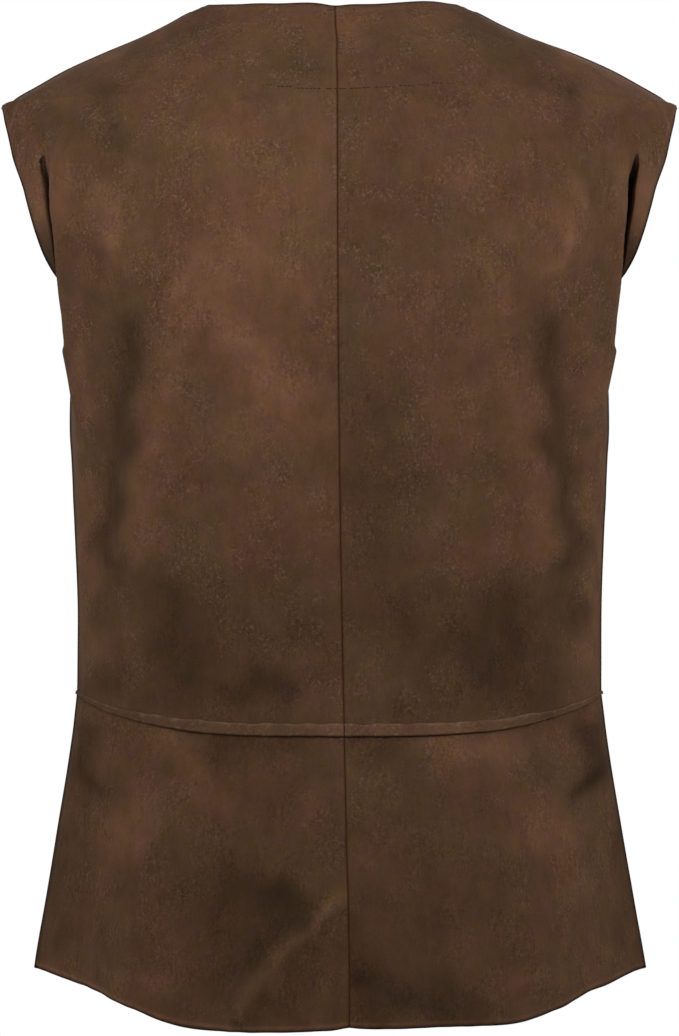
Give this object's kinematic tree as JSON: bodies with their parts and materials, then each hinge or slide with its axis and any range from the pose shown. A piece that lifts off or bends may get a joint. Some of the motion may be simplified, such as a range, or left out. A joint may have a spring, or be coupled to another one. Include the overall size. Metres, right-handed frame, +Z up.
{
  "type": "waistcoat",
  "caption": "Sleeveless waistcoat of soft napped cloth, standing hollow as worn: seamed back, plain open V-neck fronts, extended shoulders and a flared peplum below a welted waist seam.",
  "frame": {"origin": "midway between the shoulders, at half the height of the shoulder seams, where the wearer's shoulders hold the garment", "axes": "+Z up, +X towards the wearer's right, +Y towards the wearer's front, so the back of the garment faces -Y"},
  "size_m": [0.444, 0.2413, 0.6626],
  "materials": {
    "suede_back": "brown faux suede, short nap, mottled",
    "suede_front": "brown faux suede, short nap, mottled",
    "suede_peplum": "brown faux suede, short nap, mottled",
    "suede_welt": "brown faux suede turned over the seam and pressed",
    "suede_facing": "brown faux suede, wrong side towards the cloth"
  },
  "bodies": {
    "root": {"back_left": "suede_back", "back_right": "suede_back", "front_left": "suede_front", "front_right": "suede_front", "peplum_back_left": "suede_peplum", "peplum_back_right": "suede_peplum", "peplum_front_left": "suede_peplum", "peplum_front_right": "suede_peplum", "waist_welt_back_left": "suede_welt", "waist_welt_back_right": "suede_welt", "waist_welt_front_left": "suede_welt", "waist_welt_front_right": "suede_welt", "back_neck_facing": "suede_facing"}
  },
  "joints": []
}
